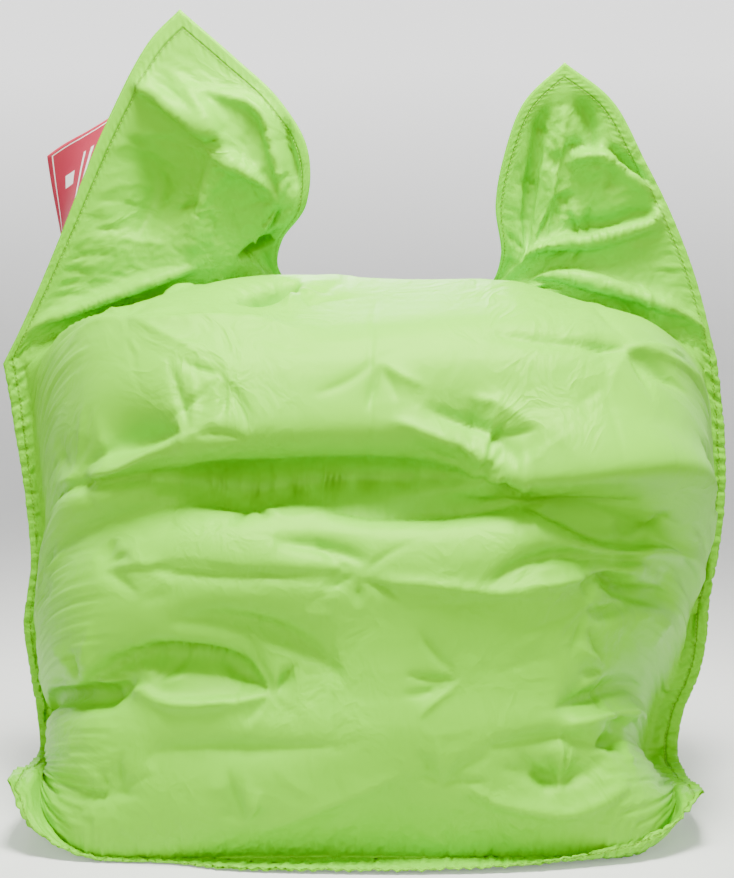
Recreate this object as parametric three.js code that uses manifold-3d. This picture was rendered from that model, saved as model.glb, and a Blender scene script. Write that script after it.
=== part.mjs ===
// Large bean bag: a flat, pillow-shaped cover of two rectangular cloth panels, about half full of
// beads, stood on its lower hem. The beads fill the lower body; the two empty top corners stand up
// as ears, and the empty top hem between them flops down behind the body.
//
// Frame: X across the bag, -Y is the front, +Z up, millimetres. The floor is z = 0, and the origin
// lies on it, under the middle of the bag's outer box.
import * as THREE from "three";
import Module from "manifold-3d";
import { mergeVertices } from "three/addons/utils/BufferGeometryUtils.js";

// ---------------------------------------------------------------- driving dimensions, mm
const CLOTH = 2.4; // a panel with its coating, seam allowance and wrinkles, as one thickness
const GAP = 0.4; // between two pieces that lie flat together
const FLOOR = CLOTH + GAP / 2; // level of the plane midway between two panels lying on the floor

// The panels are mapped by two parameters: across = -1 (left seam) to 1 (right seam), and
// along = 0 (bottom hem) to 1 (top hem).
const FILLED = 0.93; // the beads reach this share of the half width; the rest is a flat lip
const LIP = 0.05; // the lip along the bottom hem ends here
const GULLY = 0.65; // the beads end here, and the empty top begins
const FLAT_BACK = 0.7; // the back is flat over this share of the half width, so the zip is straight
const FLAT_FRONT = 0.36; // the front is rounder
const FLAT_GULLY = 0.25; // and the gully is a low arch
// The empty flap between the ears rises this far as it passes the shoulder, over this share of
// the half width.
const FLAP_HUMP = { rise: 66, reach: 0.16 };

const HEM = 22; // width of the stitched hem
const HEM_ACROSS = 1 - HEM / 700; // where its stitching runs, across
const HEM_ALONG = HEM / 1700; // and along
const THREAD = 1; // thickness of a row of stitches, as one cord
const THREAD_GAP = 1.2; // between it and the cloth

// Slide fastener in the lower back. Its own frame: x along it, y outwards from the inner face of
// the cloth, z up, with the origin in its middle.
const ZIP_HEIGHT = 270; // of its centre line over the floor
const SLOT = { across: 0.62, half: 12, sewn: 0.5 }; // the opening in the cloth, and past its ends
const TAPE = { half: 360, near: 1.2, far: 22, thick: 1 };
const COIL = { half: 318, near: 0.6, far: 2.9, thick: 2, base: 0.3 - GAP };
const STOP = { length: 3, half: 3.5, thick: 2.4, gap: 0.3 };
const TACK = { from: 323, to: 327, half: 9, thick: 1 };
const SLIDER = { length: 13, half: 5.6, plate: 1.2, flange: 3.7, post: 0.3, gap: 0.35 };
const ARCH = { half: 4, wall: 1.2, inside: 2, height: 2.9, width: 1.6 }; // it holds the pull's bar
const HINGE = 1.25; // height of the pull's bar over the slider's plate
const PULL = { bar: 0.45, length: 30, half: 3.2, grip: 4.2, eye: 7, eyeHalf: 1.9, thick: 0.9 };
const CARE = { from: 280, to: 314, drop: 55, thick: 0.8 }; // the label under the zip

// Side label: a woven strip, given by the share of the left ear's seam that it is sewn along.
const LABEL = { low: 0.33, high: 0.66, thick: 1.4, clear: 3.6 };

const LINER = { outer: 0.955, inner: 0.949, half: 0.9 }; // its shares of the filled body's size
const LINER_SEAM = { across: 0.7, low: 0.957, high: 0.959, half: 0.001 };
const BEADS = 0.935;
const CORE = [0, 0, 415]; // middle of the filled body

// ---------------------------------------------------------------- curves of the bag
const v3 = (x, y, z) => new THREE.Vector3(x, y, z);
const curve = (points) =>
  new THREE.CatmullRomCurve3(points.map((p) => v3(...p)), false, "centripetal");
const profile = (points) => curve(points.map(([y, z]) => [0, y, z]));

// Side seams: from the bottom corner back along the floor, up the side, then up the ear to its tip.
const leftSeam = curve([
  [-546, -232, 92], [-545, -140, 40], [-541, -30, 26], [-540, 50, 54], [-544, 72, 120],
  [-552, 46, 220], [-556, 32, 304], [-544, 38, 392], [-552, 56, 492], [-567, 62, 612],
  [-583, 62, 722],
]);
const leftEar = curve([
  [-583, 62, 722], [-531, 52, 828], [-487, 42, 925], [-398, 32, 1130], [-337, 30, 1238],
  [-289, 30, 1286],
]);
const rightSeam = curve([
  [520, -222, 84], [526, -130, 40], [522, -10, 26], [522, 70, 56], [532, 92, 120],
  [556, 80, 206], [574, 86, 304], [590, 98, 424], [594, 100, 542], [586, 100, 650],
  [574, 94, 726],
]);
const rightEar = curve([
  [574, 94, 726], [536, 82, 857], [496, 72, 955], [446, 62, 1051], [391, 52, 1145],
  [317, 48, 1203],
]);

// Bottom hem, on the floor in front of the body, with both corners turned up.
const bottomHem = curve([
  [-546, -232, 92], [-490, -290, 26], [-380, -322, 11], [-190, -330, 10], [0, -318, 10],
  [190, -328, 10], [380, -316, 11], [476, -280, 24], [520, -222, 84],
]);
// Top hem: over the left ear, down behind the body and up over the right ear. Its points are a
// sixteenth of the panel's width apart, so it is read by their number and not by its length.
const topHem = curve([
  [-289, 30, 1286], [-232, 18, 1238], [-190, 6, 1184], [-162, 0, 1122], [-148, 4, 1056],
  [-140, 22, 990], [-126, 70, 925], [-84, 170, 862], [5, 262, 800], [84, 266, 796],
  [150, 196, 846], [194, 110, 905], [222, 78, 980], [240, 66, 1055], [260, 58, 1128],
  [286, 52, 1175], [317, 48, 1203],
]);

// Profiles of the body in the middle of the bag, as [y, z]. The front hangs over the lip, folds in
// at a crease below the upper roll, and rolls back over the top. The back lies on the floor, rises
// straight behind the zip and leans forward to the gully.
const LIP_END = [-262, FLOOR];
const GULLY_MIDDLE = [70, 836];
const frontProfile = profile([
  LIP_END, [-282, 46], [-300, 140], [-304, 250], [-300, 345], [-304, 430], [-290, 505],
  [-256, 550], [-266, 596], [-270, 660], [-250, 725], [-200, 790], [-120, 838], [-30, 860],
  GULLY_MIDDLE,
]);
const backProfile = profile([
  LIP_END, [-120, FLOOR - 14], [60, FLOOR - 14], [200, FLOOR - 4], [258, 46], [284, 120],
  [288, 180], [288, 240], [288, 300], [288, 360], [284, 440], [264, 550], [226, 660], [166, 762],
  GULLY_MIDDLE,
]);
const lipProfile = profile([[-318, FLOOR], LIP_END]);

// ---------------------------------------------------------------- the panels as surfaces
const clamp01 = (t) => Math.min(1, Math.max(0, t));
const { lerp } = THREE.MathUtils;

// A quarter-ellipse crown: 1 over the flat middle, falling to 0 where the filling ends.
function crown(across, flat) {
  const t = clamp01((Math.abs(across) - flat) / (FILLED - flat));
  return Math.sqrt(1 - t * t);
}

// The crown along the gully: a parabola that falls to 0 only at the seam.
const lowCrown = (across) => 1 - clamp01((Math.abs(across) - FLAT_GULLY) / (1 - FLAT_GULLY)) ** 2;

// The filled body: x runs straight from seam to seam; y and z go from seam to middle by the crown.
function bodyPoint(side, across, along) {
  const s = clamp01(along / GULLY);
  const t = clamp01((along - LIP) / (GULLY - LIP));
  const inLip = along < LIP;
  const filledProfile = side === "front" ? frontProfile : backProfile;
  const middle = inLip ? lipProfile.getPointAt(along / LIP) : filledProfile.getPointAt(t);
  const seam = leftSeam.getPointAt(s).lerp(rightSeam.getPointAt(s), (across + 1) / 2);
  const roundness = side === "front" ? Math.sin(Math.PI * t) : 0;
  const filledCrown = lerp(crown(across, FLAT_BACK), crown(across, FLAT_FRONT), roundness);
  const height = lerp(filledCrown, lowCrown(across), THREE.MathUtils.smoothstep(t, 0.78, 1));
  const point = v3(seam.x, lerp(seam.y, middle.y, height), lerp(seam.z, middle.z, height));
  return inLip ? bottomHem.getPointAt((across + 1) / 2).lerp(point, along / LIP) : point;
}

// The empty top, both panels together: straight from the gully to the top hem, with each ear bent to
// its own seam, and a hump behind the crest, so that the flap clears the shoulder.
function topPoint(across, along) {
  const t = (along - GULLY) / (1 - GULLY);
  const s = (across + 1) / 2;
  const straight = (a) => bodyPoint("back", a, GULLY).lerp(topHem.getPoint((a + 1) / 2), t);
  const point = straight(across);
  point.addScaledVector(leftEar.getPointAt(t).sub(straight(-1)), (1 - s) ** 3);
  point.addScaledVector(rightEar.getPointAt(t).sub(straight(1)), s ** 3);
  // The hump is highest at a third of the way, and leaves the hem as it is.
  const hump = 6.75 * t * (1 - t) ** 2;
  point.z += FLAP_HUMP.rise * hump * Math.exp(-((across / FLAP_HUMP.reach) ** 2));
  return point;
}

// The surface midway between the two panels where they lie together, and the filled body's surface
// elsewhere.
function middlePoint(side, across, along) {
  const point = along < GULLY ? bodyPoint(side, across, along) : topPoint(across, along);
  point.z = Math.max(point.z, FLOOR);
  return point;
}

// Outward normal of a panel, from the surface a small step to each side. On a flat lip, its edge
// included, both steps stay on the lip.
function outward(side, across, along) {
  const STEP = 0.006;
  const onSideLip = Math.abs(across) >= FILLED && along < GULLY;
  const leastAcross = onSideLip ? FILLED : -1;
  const mostAlong = along <= LIP ? LIP : 1;
  const at = (a, b) => {
    const outwards = across < 0 ? -a : a;
    const kept = THREE.MathUtils.clamp(outwards, leastAcross, 1);
    return middlePoint(side, across < 0 ? -kept : kept, THREE.MathUtils.clamp(b, 0, mostAlong));
  };
  const acrossWay = at(across + STEP, along).sub(at(across - STEP, along));
  const alongWay = at(across, along + STEP).sub(at(across, along - STEP));
  const normal = acrossWay.cross(alongWay).normalize();
  return side === "front" ? normal : normal.negate();
}

// A point of a panel, this far out from its inner face.
function panelPoint(side, across, along, out) {
  const normal = outward(side, across, along);
  return middlePoint(side, across, along).addScaledVector(normal, GAP / 2 + out);
}

// ---------------------------------------------------------------- rows, columns and the zip's place
const spaced = (from, to, count) =>
  Array.from({ length: count }, (_, i) => lerp(from, to, i / (count - 1)));

// Columns are closer together where the filled side walls curve.
const HALF_COLUMNS = [
  0.09, 0.17, 0.24, 0.31, 0.4, 0.5, SLOT.across, SLOT.across + 0.02, FLAT_BACK, 0.77, 0.84, 0.89, 0.915,
  FILLED, HEM_ACROSS, 1,
];
const COLUMNS = [...HALF_COLUMNS.map((a) => -a).reverse(), 0, ...HALF_COLUMNS];

// The back profile is vertical where the zip crosses it, so its height gives its place along.
const backAlong = (t) => lerp(LIP, GULLY, t);
function findZip() {
  let [low, high] = [0.36, 0.7];
  while (high - low > 1e-9) {
    const t = (low + high) / 2;
    if (backProfile.getPointAt(t).z < ZIP_HEIGHT) low = t;
    else high = t;
  }
  return backAlong(low);
}
const zipAlong = findZip();
const backStep = (mm) => ((GULLY - LIP) * mm) / backProfile.getLength();

const EDGE_ROWS = [0, HEM_ALONG, LIP];
const TOP_ROWS = [GULLY, ...spaced(GULLY + 0.025, 1 - HEM_ALONG, 10), 1];
const LOWER_ROWS = [...EDGE_ROWS, ...spaced(LIP + 0.02, zipAlong - 0.035, 8), zipAlong];
const UPPER_ROWS = [zipAlong, ...spaced(zipAlong + 0.035, GULLY - 0.02, 8), ...TOP_ROWS];
// The front has the same rows, so that both panels have the same facets where they lie together.
const ROWS = [...LOWER_ROWS, ...UPPER_ROWS.slice(1)];

// ---------------------------------------------------------------- solids
// A closed solid from two grids of points, face[row][column] and back[row][column], and its rim.
function slab(face, back) {
  const rows = face.length;
  const columns = face[0].length;
  const index = [];
  const at = (layer, r, c) => (layer * rows + r) * columns + c;
  const quad = (a, b, c, d) => index.push(a, b, c, a, c, d);
  for (let r = 0; r + 1 < rows; r++) {
    for (let c = 0; c + 1 < columns; c++) {
      quad(at(0, r, c), at(0, r, c + 1), at(0, r + 1, c + 1), at(0, r + 1, c));
      quad(at(1, r, c), at(1, r + 1, c), at(1, r + 1, c + 1), at(1, r, c + 1));
    }
    const end = columns - 1;
    quad(at(0, r, 0), at(0, r + 1, 0), at(1, r + 1, 0), at(1, r, 0));
    quad(at(0, r, end), at(1, r, end), at(1, r + 1, end), at(0, r + 1, end));
  }
  for (let c = 0; c + 1 < columns; c++) {
    const end = rows - 1;
    quad(at(0, 0, c), at(1, 0, c), at(1, 0, c + 1), at(0, 0, c + 1));
    quad(at(0, end, c), at(0, end, c + 1), at(1, end, c + 1), at(1, end, c));
  }
  const points = [...face.flat(), ...back.flat()];
  return new THREE.BufferGeometry().setFromPoints(points).setIndex(index);
}

const grid = (alongs, acrosses, point) => alongs.map((b) => acrosses.map((a) => point(a, b)));

// A cover panel. Its edge at the zip stands back from the zip's centre line, on the side that
// zipSide gives: -1 below it, 1 above it.
function panel(side, alongs, zipSide = 0) {
  const shifted = (a, b) => {
    if (b !== zipAlong) return b;
    return b + zipSide * backStep(Math.abs(a) <= SLOT.across ? SLOT.half : SLOT.sewn);
  };
  const face = (out) => grid(alongs, COLUMNS, (a, b) => panelPoint(side, a, shifted(a, b), out));
  return side === "front" ? slab(face(CLOTH), face(0)) : slab(face(0), face(CLOTH));
}

// Topstitching round the hem on one side, square in section.
function hemThread(side) {
  const rows = ROWS.filter((b) => b > HEM_ALONG && b < 1 - HEM_ALONG);
  const columns = COLUMNS.filter((a) => Math.abs(a) <= HEM_ACROSS);
  const loop = [
    ...columns.map((a) => [a, HEM_ALONG]),
    ...rows.map((b) => [HEM_ACROSS, b]),
    ...columns.map((a) => [-a, 1 - HEM_ALONG]),
    ...rows.toReversed().map((b) => [-HEM_ACROSS, b]),
  ];
  const line = loop.map(([a, b]) => panelPoint(side, a, b, CLOTH + THREAD_GAP + THREAD / 2));
  const count = line.length;
  const points = [];
  const index = [];
  loop.forEach(([a, b], i) => {
    const ahead = line[(i + 1) % count].clone().sub(line[(i + count - 1) % count]);
    const up = outward(side, a, b);
    const aside = ahead.cross(up).normalize();
    const corners = [[-1, -1], [1, -1], [1, 1], [-1, 1]];
    corners.forEach(([s, u], k) => {
      const corner = line[i].clone().addScaledVector(aside, (s * THREAD) / 2);
      points.push(corner.addScaledVector(up, (u * THREAD) / 2));
      const [p, q] = [i * 4 + k, i * 4 + ((k + 1) % 4)];
      const next = ((i + 1) % count) * 4;
      const [p2, q2] = [next + k, next + ((k + 1) % 4)];
      index.push(p, q2, q, p, p2, q2);
    });
  });
  return new THREE.BufferGeometry().setFromPoints(points).setIndex(index);
}

// The liner and the beads follow the filled body, drawn in towards its middle.
function drawnIn(side, across, along, share) {
  const core = v3(...CORE);
  return middlePoint(side, across, along).sub(core).multiplyScalar(share).add(core);
}

// They share the panels' facets, so that none of them cuts its neighbour.
const FILL_ROWS = ROWS.filter((b) => b > LIP && b < GULLY);
const FILL_COLUMNS = COLUMNS.filter((a) => Math.abs(a) < LINER.half);

function liner(side) {
  const face = (share) => grid(FILL_ROWS, FILL_COLUMNS, (a, b) => drawnIn(side, a, b, share));
  const [outerFace, innerFace] = [face(LINER.outer), face(LINER.inner)];
  return side === "front" ? slab(outerFace, innerFace) : slab(innerFace, outerFace);
}

// The seam that closes the liner once it is filled, near its top.
function linerThread() {
  const { across, low, high, half } = LINER_SEAM;
  const along = FILL_ROWS.at(-2);
  const columns = FILL_COLUMNS.filter((a) => Math.abs(a) < across);
  const face = (share) =>
    grid([along - half, along + half], columns, (a, b) => drawnIn("front", a, b, share));
  return slab(face(high), face(low));
}

// The front and the back of the fill share their edge, midway between them, so the mesh closes
// without a rim.
function beadFill() {
  const [rows, columns] = [FILL_ROWS.length, FILL_COLUMNS.length];
  const points = [];
  const number = { front: [], back: [] };
  for (const side of ["front", "back"])
    for (let r = 0; r < rows; r++)
      for (let c = 0; c < columns; c++) {
        const onEdge = r === 0 || c === 0 || r === rows - 1 || c === columns - 1;
        if (side === "back" && onEdge) {
          number.back.push(number.front[r * columns + c]);
          continue;
        }
        const point = drawnIn(side, FILL_COLUMNS[c], FILL_ROWS[r], BEADS);
        if (onEdge) point.lerp(drawnIn("back", FILL_COLUMNS[c], FILL_ROWS[r], BEADS), 0.5);
        number[side].push(points.length);
        points.push(point);
      }
  const index = [];
  for (const side of ["front", "back"])
    for (let r = 0; r + 1 < rows; r++)
      for (let c = 0; c + 1 < columns; c++) {
        const at = (dr, dc) => number[side][(r + dr) * columns + c + dc];
        const corners = [at(0, 0), at(0, 1), at(1, 1), at(1, 0)];
        // The diagonals point at the middle, so that no triangle lies wholly in the shared edge.
        if (r < rows / 2 - 1 !== c < columns / 2 - 1) corners.push(corners.shift());
        const [p, q, s, t] = corners;
        if (side === "front") index.push(p, q, s, p, s, t);
        else index.push(p, s, q, p, t, s);
      }
  return new THREE.BufferGeometry().setFromPoints(points).setIndex(index);
}

// The side label's top end stands out to the left, and its bottom end turns behind the ear.
function sideLabel() {
  const outerTop = v3(-506, 62, 1058);
  const outerLow = v3(-508, 148, 880);
  const strips = spaced(0, 1, 7).map((t) => {
    const seam = leftEar.getPointAt(lerp(LABEL.low, LABEL.high, t));
    const outer = outerLow.clone().lerp(outerTop, t);
    const way = outer.clone().sub(seam).normalize();
    return { start: seam.addScaledVector(way, LABEL.clear), outer, way };
  });
  const up = strips.at(-1).start.clone().sub(strips[0].start).normalize();
  const face = (out) =>
    strips.map(({ start, outer, way }) => {
      const normal = up.clone().cross(way).normalize();
      return [1, 0.5, 0].map((t) => start.clone().lerp(outer, t).addScaledVector(normal, out));
    });
  return slab(face(LABEL.thick / 2), face(-LABEL.thick / 2));
}

// ---------------------------------------------------------------- the slide fastener's pieces
const box = ([x0, x1], [y0, y1], [z0, z1]) =>
  new THREE.BoxGeometry(x1 - x0, y1 - y0, z1 - z0).translate(
    (x0 + x1) / 2, (y0 + y1) / 2, (z0 + z1) / 2,
  );

const outline = (points) => new THREE.Shape(points.map(([x, y]) => new THREE.Vector2(x, y)));
const mirrored = (points) => points.map(([u, v]) => [-u, v]).reverse();

// Carries a section, given as [z, y], along x; the solid is centred on x = 0.
function alongZip(section, length) {
  return new THREE.ExtrudeGeometry(outline(section), { depth: length, bevelEnabled: false })
    .rotateY(-Math.PI / 2)
    .translate(length / 2, 0, 0);
}

const zipTape = () => box([-TAPE.half, TAPE.half], [-GAP - TAPE.thick, -GAP], [TAPE.near, TAPE.far]);

function zipCoil() {
  const { near, far, thick, base, half } = COIL;
  const top = base + thick;
  const section = [
    [near, base], [far, base], [far, base + thick / 2], [far - 0.7, top], [near + 0.4, top],
    [near, top - 0.6],
  ];
  return alongZip(section, 2 * half);
}

// A span of x on the right of the zip, or its mirror image on the left.
const span = (end, from, to) => (end > 0 ? [from, to] : [-to, -from]);

function zipStop(end) {
  const from = COIL.half + STOP.gap;
  const xs = span(end, from, from + STOP.length);
  return box(xs, [COIL.base, COIL.base + STOP.thick], [-STOP.half, STOP.half]);
}

function zipTack(end) {
  const xs = span(end, TACK.from, TACK.to);
  return box(xs, [COIL.base, COIL.base + TACK.thick], [-TACK.half, TACK.half]);
}

const plateBase = COIL.base + COIL.thick + SLIDER.gap;
const plateTop = plateBase + SLIDER.plate;

const wasm = await Module();
wasm.setup();

// Joins overlapping solids into one.
function join(...geometries) {
  const solids = geometries.map((geometry) => {
    for (const name of ["normal", "uv"]) geometry.deleteAttribute(name);
    const merged = mergeVertices(geometry);
    const vertProperties = new Float32Array(merged.getAttribute("position").array);
    const triVerts = new Uint32Array(merged.getIndex().array);
    return new wasm.Manifold(new wasm.Mesh({ numProp: 3, vertProperties, triVerts }));
  });
  const mesh = solids.reduce((whole, next) => whole.add(next)).getMesh();
  const joined = new THREE.BufferGeometry();
  joined.setAttribute("position", new THREE.BufferAttribute(mesh.vertProperties, 3));
  return joined.setIndex(new THREE.BufferAttribute(mesh.triVerts, 1));
}

// The slider: two plates joined by a thin post that runs between the coils, and the pull's arch.
function zipSlider() {
  const { half, plate, flange, post, gap, length } = SLIDER;
  const flangeEnd = -GAP + gap;
  const lowerTop = -GAP - TAPE.thick - gap;
  const right = [
    [half, lowerTop - plate], [half, lowerTop], [post, lowerTop], [post, plateBase],
    [flange, plateBase], [flange, flangeEnd], [half, flangeEnd], [half, plateTop],
  ];
  const body = alongZip([...right, ...mirrored(right)], length);
  const BITE = 0.4; // the arch's feet reach this far into the plate
  const foot = ARCH.half - ARCH.wall;
  const rightInside = [[foot - 0.4, ARCH.inside], [foot, ARCH.inside - 0.4], [foot, -BITE]];
  const rightOutside = [
    [ARCH.half, -BITE], [ARCH.half, ARCH.height - 0.9], [ARCH.half - 1, ARCH.height],
  ];
  const rightArch = [...rightInside, ...rightOutside];
  const arch = new THREE.ExtrudeGeometry(outline([...rightArch, ...mirrored(rightArch)]), {
    depth: ARCH.width,
    bevelEnabled: false,
  }).translate(0, plateTop, -ARCH.width / 2);
  return join(body, arch);
}

// The pull at rest: its bar on the origin, its grip towards -x, flat in the plane of the cloth.
function zipPull() {
  const { bar, length, half, grip, eye, eyeHalf, thick } = PULL;
  const upper = [
    [bar, half], [-eye - 2, half], [-eye - 5, half - 0.8], [8 - length, grip], [2 - length, grip],
    [-length, grip - 2],
  ];
  const lower = upper.map(([x, z]) => [x, -z]).reverse();
  const shape = outline([...upper, ...lower]);
  shape.holes.push(outline([[-bar, -eyeHalf], [-eye, -eyeHalf], [-eye, eyeHalf], [-bar, eyeHalf]]));
  return new THREE.ExtrudeGeometry(shape, { depth: thick, bevelEnabled: false })
    .rotateX(Math.PI / 2)
    .translate(0, thick / 2, 0);
}

// The care label hangs from the zip's lower edge, over the cloth.
function careLabel() {
  const y = CLOTH + GAP;
  return box([CARE.from, CARE.to], [y, y + CARE.thick], [-SLOT.half - CARE.drop, -SLOT.half]);
}

// ---------------------------------------------------------------- assembly
const finish = (colour, roughness, metalness = 0) =>
  new THREE.MeshStandardMaterial({ color: colour, roughness, metalness });
const cloth = finish(0x8fc24a, 0.62);
const stitching = finish(0x7fae42, 0.8);
const webbing = finish(0x7a9c45, 0.85);
const nylon = finish(0x86ad48, 0.45);
const metal = finish(0x9a9c9e, 0.35, 1);
const redWeave = finish(0xc23648, 0.75);
const whiteWeave = finish(0xf0efe8, 0.8);
const linerCloth = finish(0xece9e1, 0.9);
const beads = finish(0xfbfbf9, 0.7);

function named(name, geometry, material) {
  const mesh = new THREE.Mesh(geometry, material);
  mesh.name = name;
  return mesh;
}

const bag = new THREE.Group();
bag.add(
  named("front_panel", panel("front", ROWS), cloth),
  named("back_panel_lower", panel("back", LOWER_ROWS, -1), cloth),
  named("back_panel_upper", panel("back", UPPER_ROWS, 1), cloth),
  named("hem_thread_front", hemThread("front"), stitching),
  named("hem_thread_back", hemThread("back"), stitching),
  named("side_label", sideLabel(), redWeave),
  named("liner_front_panel", liner("front"), linerCloth),
  named("liner_back_panel", liner("back"), linerCloth),
  named("liner_thread", linerThread(), linerCloth),
  named("bead_fill", beadFill(), beads),
);

const zip = new THREE.Group();
zip.position.copy(panelPoint("back", 0, zipAlong, 0));
const lowerTape = named("zip_tape_lower", zipTape(), webbing);
const lowerCoil = named("zip_coil_lower", zipCoil(), nylon);
for (const half of [lowerTape, lowerCoil]) half.rotation.y = Math.PI;
const slider = named("zip_slider", zipSlider(), metal);
slider.position.x = COIL.half - SLIDER.length / 2 - 0.5;
const pull = named("zip_pull", zipPull(), metal);
pull.position.y = plateTop + HINGE;
slider.add(pull);
zip.add(
  named("zip_tape_upper", zipTape(), webbing),
  lowerTape,
  named("zip_coil_upper", zipCoil(), nylon),
  lowerCoil,
  named("zip_stop_left", zipStop(-1), metal),
  named("zip_stop_right", zipStop(1), metal),
  named("zip_tack_left", zipTack(-1), stitching),
  named("zip_tack_right", zipTack(1), stitching),
  slider,
  named("care_label", careLabel(), whiteWeave),
);
bag.add(zip);

// The origin goes under the middle of the outer box.
const outer = new THREE.Box3().setFromObject(bag, true);
const centre = outer.getCenter(v3(0, 0, 0));
bag.position.set(-centre.x, -centre.y, -outer.min.z);

export default bag;
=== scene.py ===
from math import radians

import bmesh
import bpy
import numpy as np
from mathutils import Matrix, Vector


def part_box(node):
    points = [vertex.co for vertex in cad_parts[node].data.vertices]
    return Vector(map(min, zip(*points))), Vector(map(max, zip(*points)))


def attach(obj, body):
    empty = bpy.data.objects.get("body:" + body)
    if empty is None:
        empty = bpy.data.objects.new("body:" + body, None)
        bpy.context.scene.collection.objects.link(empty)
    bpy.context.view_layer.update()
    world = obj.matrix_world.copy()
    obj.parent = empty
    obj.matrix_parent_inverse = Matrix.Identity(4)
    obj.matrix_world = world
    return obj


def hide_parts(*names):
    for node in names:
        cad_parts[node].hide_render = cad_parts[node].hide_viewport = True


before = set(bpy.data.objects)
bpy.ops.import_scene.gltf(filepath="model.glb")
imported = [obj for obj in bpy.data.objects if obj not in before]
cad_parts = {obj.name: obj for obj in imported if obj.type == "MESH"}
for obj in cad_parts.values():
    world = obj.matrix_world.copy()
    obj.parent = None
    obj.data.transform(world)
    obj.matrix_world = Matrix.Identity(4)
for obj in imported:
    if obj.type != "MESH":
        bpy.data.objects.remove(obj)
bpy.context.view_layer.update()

# ---------------------------------------------------------------- the room
# A pale floor that runs up all round into pale walls, which glow a little, and soft studio lamps: a
# strong one above and weaker ones in front, behind and at the right. None of it is part of the bag.
EYE = Vector((-0.0055, -3.5374, 1.1726))
LOOK_DOWN = radians(9)
SENSOR_WIDTH, LENS = 36, 110.354223  # mm
FRAME_SHIFT = 2.5 / 734  # share of the frame's width

camera = bpy.data.objects.new("camera", bpy.data.cameras.new("camera"))
camera.location = EYE
camera.rotation_euler = (radians(90) - LOOK_DOWN, 0, 0)
camera.data.sensor_fit = "HORIZONTAL"
camera.data.sensor_width = SENSOR_WIDTH
camera.data.lens = LENS
camera.data.shift_x = FRAME_SHIFT
camera.data.clip_end = 100
bpy.context.scene.collection.objects.link(camera)
bpy.context.scene.camera = camera


def cove(x, y):
    """The floor: level, and all round, from 6 m out, rising as a quarter circle and then a wall."""
    start, radius = 6.0, 2.5
    away = np.hypot(x, y)
    turn = np.clip((away - start) / radius, 0, np.pi / 2)
    wall = np.maximum(away - start - radius * np.pi / 2, 0)
    stretch = (np.minimum(away, start) + radius * np.sin(turn)) / np.maximum(away, 1e-6)
    return np.stack([x * stretch, y * stretch, radius * (1 - np.cos(turn)) + wall], -1)


def grid_faces(rows, columns, flip=False):
    """Four-cornered faces over a grid of points that is numbered row by row."""
    first = (np.arange(rows - 1)[:, None] * columns + np.arange(columns - 1)).ravel()
    corners = np.stack([first, first + 1, first + columns + 1, first + columns], 1)
    return corners[:, ::-1] if flip else corners


def new_piece(name, points, faces, material, smooth=True):
    """A mesh object from an array of points and an array, or a list of arrays, of faces."""
    mesh = bpy.data.meshes.new(name)
    faces = [face.tolist() for face in (faces if isinstance(faces, list) else [faces])]
    mesh.from_pydata(points.reshape(-1, 3).tolist(), [], [f for group in faces for f in group])
    mesh.polygons.foreach_set("use_smooth", np.full(len(mesh.polygons), smooth))
    mesh.materials.append(material)
    piece = bpy.data.objects.new(name, mesh)
    bpy.context.scene.collection.objects.link(piece)
    return piece


class Shade:
    """One socket of a material's nodes. Sums and products of it add Math nodes."""

    def __init__(self, tree, socket=None):
        self.tree, self.socket = tree, socket

    def node(self, kind, settings=None, values=None, output=0):
        """Adds a node: its settings first, then the values or links of its sockets."""
        made = self.tree.nodes.new(kind)
        for key, value in (settings or {}).items():
            if key == "stops":
                elements = made.color_ramp.elements
                for element, (place, colour) in zip(elements, value):
                    element.position, element.color = place, (*colour, 1)
            else:
                setattr(made, key, value)
        for key, value in (values or {}).items():
            if isinstance(value, Shade):
                self.tree.links.new(value.socket, made.inputs[key])
            else:
                made.inputs[key].default_value = value
        return Shade(self.tree, made.outputs[output])

    def math(self, operation, *others):
        """A Math node with this socket as its first value."""
        return self.node("ShaderNodeMath", {"operation": operation}, dict(enumerate((self, *others))))

    def __add__(self, other):
        return self.math("ADD", other)

    def __sub__(self, other):
        return self.math("SUBTRACT", other)

    def __rsub__(self, other):
        return self.node("ShaderNodeMath", {"operation": "SUBTRACT"}, {0: other, 1: self})

    def __mul__(self, other):
        return self.math("MULTIPLY", other)

    def __truediv__(self, other):
        return self.math("DIVIDE", other)

    __radd__ = __add__
    __rmul__ = __mul__

    def blend(self, low, high):
        """A colour between two, by this socket as the share of the second."""
        return self.node("ShaderNodeMix", {"data_type": "RGBA"}, {0: self, 6: low, 7: high}, 2)

    def part(self, axis):
        """One part, 0 to 2, of a vector."""
        return self.node("ShaderNodeSeparateXYZ", None, {0: self}, axis)


def new_material(name, **fixed):
    """An empty material, with values that are the same all over it set on the shader itself."""
    material = bpy.data.materials.new(name)
    material.use_nodes = True
    shader = material.node_tree.nodes["Principled BSDF"]
    for key, value in fixed.items():
        shader.inputs[key.replace("_", " ")].default_value = value
    return material, Shade(material.node_tree), shader


def finish_material(shade, shader, **varying):
    """Links what changes over the surface to the shader."""
    for key, value in varying.items():
        shade.tree.links.new(value.socket, shader.inputs[key.replace("_", " ")])


def bumped(shade, height, distance, strength=1.0, normal=None):
    """A Bump node's normal: this far, in metres, for a height of 1, over another bump's normal."""
    values = {"Height": height, "Distance": distance, "Strength": strength}
    if normal:
        values["Normal"] = normal
    return shade.node("ShaderNodeBump", None, values)


def noise(shade, where, scale, detail=2.0, roughness=0.5, distortion=0.0):
    """A soft random pattern from 0 to 1 over the places where, with scale lumps to a metre."""
    values = {"Vector": where, "Scale": scale, "Detail": detail, "Roughness": roughness,
              "Distortion": distortion}
    return shade.node("ShaderNodeTexNoise", None, values)


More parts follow.
